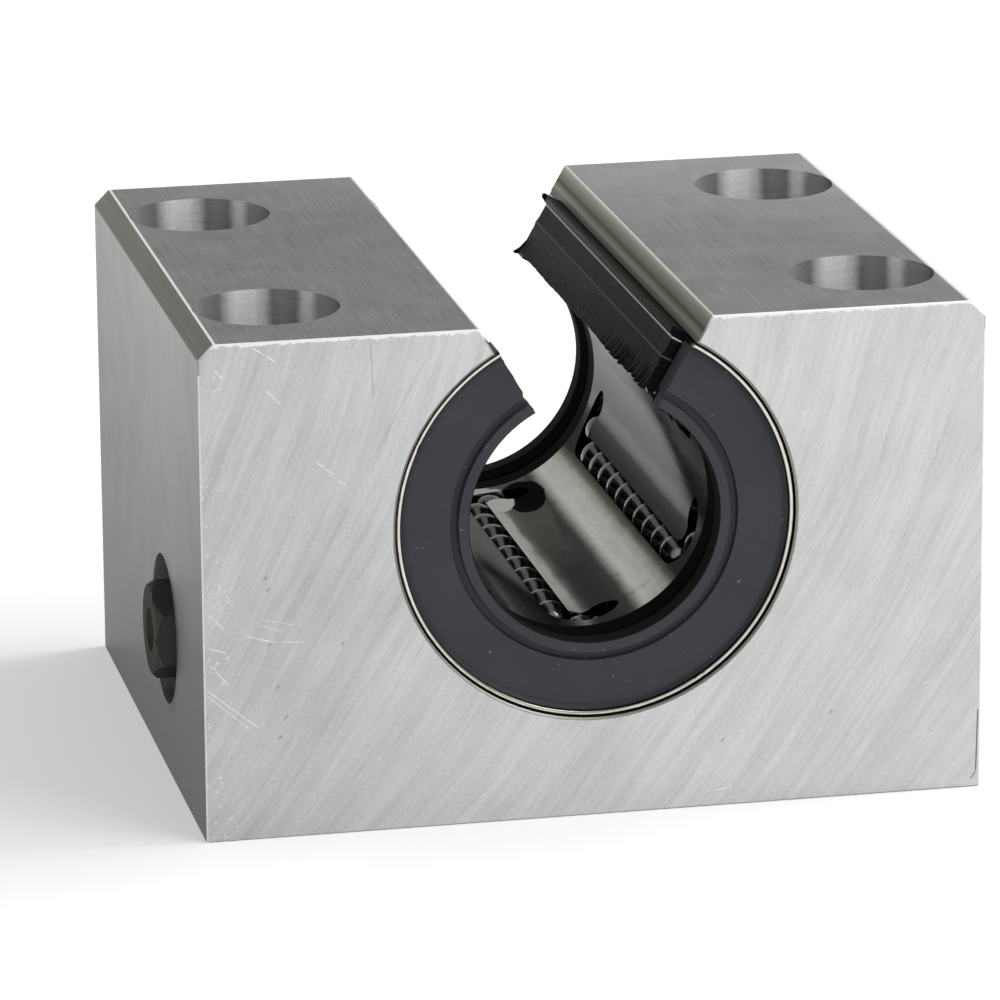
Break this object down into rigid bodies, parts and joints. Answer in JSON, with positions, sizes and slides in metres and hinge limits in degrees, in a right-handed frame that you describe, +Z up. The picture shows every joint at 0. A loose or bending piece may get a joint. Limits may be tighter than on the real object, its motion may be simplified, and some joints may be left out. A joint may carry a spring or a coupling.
{
  "type": "linear bearing block",
  "caption": "Aluminium block with an open linear ball bearing, slotted at the top for a rail-held round shaft, with end seals, slot seals and pocketed screw holes.",
  "frame": {"origin": "centre of the base face", "axes": "+Z up through the slot, +Y along the shaft bore, +X across; the front shown in the picture is at -Y"},
  "size_m": [0.0795, 0.067, 0.05],
  "materials": {
    "machined_aluminium": "sawn and brushed, fine scratches",
    "ground_steel": "ground",
    "polished_steel": "polished, slightly oily",
    "black_plastic": "moulded, matt",
    "case_steel": "rolled, bright rim",
    "seal_rubber": "moulded, satin",
    "strip_rubber": "extruded, cut edge",
    "nipple_steel": "dark, oiled",
    "spring_steel": "drawn wire",
    "ball_steel": "polished, oiled"
  },
  "bodies": {
    "block": {"housing_block": "machined_aluminium", "outer_sleeve": "ground_steel", "ball_retainer": "polished_steel", "end_ring_front": "black_plastic", "end_ring_rear": "black_plastic", "seal_case_front": "case_steel", "seal_case_rear": "case_steel", "lip_seal_front": "seal_rubber", "lip_seal_rear": "seal_rubber", "slot_seal_left": "strip_rubber", "slot_seal_right": "strip_rubber", "lube_nipple": "nipple_steel", "nipple_spring": "spring_steel"},
    "check_ball": {"nipple_check_ball": "ball_steel"},
    "load_row_1": {"load_balls_1": "ball_steel"},
    "return_row_1": {"return_balls_1": "ball_steel"},
    "front_turn_1": {"turn_balls_front_1": "ball_steel"},
    "rear_turn_1": {"turn_balls_rear_1": "ball_steel"},
    "load_row_2": {"load_balls_2": "ball_steel"},
    "return_row_2": {"return_balls_2": "ball_steel"},
    "front_turn_2": {"turn_balls_front_2": "ball_steel"},
    "rear_turn_2": {"turn_balls_rear_2": "ball_steel"},
    "load_row_3": {"load_balls_3": "ball_steel"},
    "return_row_3": {"return_balls_3": "ball_steel"},
    "front_turn_3": {"turn_balls_front_3": "ball_steel"},
    "rear_turn_3": {"turn_balls_rear_3": "ball_steel"},
    "load_row_4": {"load_balls_4": "ball_steel"},
    "return_row_4": {"return_balls_4": "ball_steel"},
    "front_turn_4": {"turn_balls_front_4": "ball_steel"},
    "rear_turn_4": {"turn_balls_rear_4": "ball_steel"},
    "load_row_5": {"load_balls_5": "ball_steel"},
    "return_row_5": {"return_balls_5": "ball_steel"},
    "front_turn_5": {"turn_balls_front_5": "ball_steel"},
    "rear_turn_5": {"turn_balls_rear_5": "ball_steel"}
  },
  "joints": [
    {"name": "check_ball_slide", "type": "slide", "parent": "block", "child": "check_ball", "axis": [1, 0, 0], "range_m": [0, 0.0008], "stiffness_N_per_m": 20, "springref_m": -0.002, "deforming": ["nipple_spring"]},
    {"name": "load_row_slide_1", "type": "slide", "parent": "block", "child": "load_row_1", "axis": [0, 1, 0], "range_m": [-0.00202, 0.00202]},
    {"name": "return_row_slide_1", "type": "slide", "parent": "block", "child": "return_row_1", "axis": [0, 1, 0], "range_m": [-0.00202, 0.00202]},
    {"name": "front_turn_hinge_1", "type": "hinge", "parent": "block", "child": "front_turn_1", "pos_m": [0.01243, -0.02025, 0.03816], "axis": [0.9443, 0, 0.3291], "range_deg": [-90, 90]},
    {"name": "rear_turn_hinge_1", "type": "hinge", "parent": "block", "child": "rear_turn_1", "pos_m": [0.01243, 0.02025, 0.03816], "axis": [0.9443, 0, 0.3291], "range_deg": [-90, 90]},
    {"name": "load_row_slide_2", "type": "slide", "parent": "block", "child": "load_row_2", "axis": [0, 1, 0], "range_m": [-0.00202, 0.00202]},
    {"name": "return_row_slide_2", "type": "slide", "parent": "block", "child": "return_row_2", "axis": [0, 1, 0], "range_m": [-0.00202, 0.00202]},
    {"name": "front_turn_hinge_2", "type": "hinge", "parent": "block", "child": "front_turn_2", "pos_m": [0.01328, -0.02025, 0.02332], "axis": [0.7571, 0, -0.6533], "range_deg": [-90, 90]},
    {"name": "rear_turn_hinge_2", "type": "hinge", "parent": "block", "child": "rear_turn_2", "pos_m": [0.01328, 0.02025, 0.02332], "axis": [0.7571, 0, -0.6533], "range_deg": [-90, 90]},
    {"name": "load_row_slide_3", "type": "slide", "parent": "block", "child": "load_row_3", "axis": [0, 1, 0], "range_m": [-0.00202, 0.00202]},
    {"name": "return_row_slide_3", "type": "slide", "parent": "block", "child": "return_row_3", "axis": [0, 1, 0], "range_m": [-0.00202, 0.00202]},
    {"name": "front_turn_hinge_3", "type": "hinge", "parent": "block", "child": "front_turn_3", "pos_m": [0.00086, -0.02025, 0.01515], "axis": [-0.1872, 0, -0.9823], "range_deg": [-90, 90]},
    {"name": "rear_turn_hinge_3", "type": "hinge", "parent": "block", "child": "rear_turn_3", "pos_m": [0.00086, 0.02025, 0.01515], "axis": [-0.1872, 0, -0.9823], "range_deg": [-90, 90]},
    {"name": "load_row_slide_4", "type": "slide", "parent": "block", "child": "load_row_4", "axis": [0, 1, 0], "range_m": [-0.00202, 0.00202]},
    {"name": "return_row_slide_4", "type": "slide", "parent": "block", "child": "return_row_4", "axis": [0, 1, 0], "range_m": [-0.00202, 0.00202]},
    {"name": "front_turn_hinge_4", "type": "hinge", "parent": "block", "child": "front_turn_4", "pos_m": [-0.01243, -0.02025, 0.02184], "axis": [-0.9443, 0, -0.3291], "range_deg": [-90, 90]},
    {"name": "rear_turn_hinge_4", "type": "hinge", "parent": "block", "child": "rear_turn_4", "pos_m": [-0.01243, 0.02025, 0.02184], "axis": [-0.9443, 0, -0.3291], "range_deg": [-90, 90]},
    {"name": "load_row_slide_5", "type": "slide", "parent": "block", "child": "load_row_5", "axis": [0, 1, 0], "range_m": [-0.00202, 0.00202]},
    {"name": "return_row_slide_5", "type": "slide", "parent": "block", "child": "return_row_5", "axis": [0, 1, 0], "range_m": [-0.00202, 0.00202]},
    {"name": "front_turn_hinge_5", "type": "hinge", "parent": "block", "child": "front_turn_5", "pos_m": [-0.01328, -0.02025, 0.03668], "axis": [-0.7571, 0, 0.6533], "range_deg": [-90, 90]},
    {"name": "rear_turn_hinge_5", "type": "hinge", "parent": "block", "child": "rear_turn_5", "pos_m": [-0.01328, 0.02025, 0.03668], "axis": [-0.7571, 0, 0.6533], "range_deg": [-90, 90]}
  ],
  "couplings": [
    {"joint": "return_row_slide_1", "follows": "load_row_slide_1", "ratio": -1},
    {"joint": "front_turn_hinge_1", "follows": "load_row_slide_1", "rad_per_m": 775.7},
    {"joint": "rear_turn_hinge_1", "follows": "load_row_slide_1", "rad_per_m": 775.7},
    {"joint": "return_row_slide_2", "follows": "load_row_slide_2", "ratio": -1},
    {"joint": "front_turn_hinge_2", "follows": "load_row_slide_2", "rad_per_m": 775.7},
    {"joint": "rear_turn_hinge_2", "follows": "load_row_slide_2", "rad_per_m": 775.7},
    {"joint": "return_row_slide_3", "follows": "load_row_slide_3", "ratio": -1},
    {"joint": "front_turn_hinge_3", "follows": "load_row_slide_3", "rad_per_m": 775.7},
    {"joint": "rear_turn_hinge_3", "follows": "load_row_slide_3", "rad_per_m": 775.7},
    {"joint": "return_row_slide_4", "follows": "load_row_slide_4", "ratio": -1},
    {"joint": "front_turn_hinge_4", "follows": "load_row_slide_4", "rad_per_m": 775.7},
    {"joint": "rear_turn_hinge_4", "follows": "load_row_slide_4", "rad_per_m": 775.7},
    {"joint": "return_row_slide_5", "follows": "load_row_slide_5", "ratio": -1},
    {"joint": "front_turn_hinge_5", "follows": "load_row_slide_5", "rad_per_m": 775.7},
    {"joint": "rear_turn_hinge_5", "follows": "load_row_slide_5", "rad_per_m": 775.7}
  ]
}
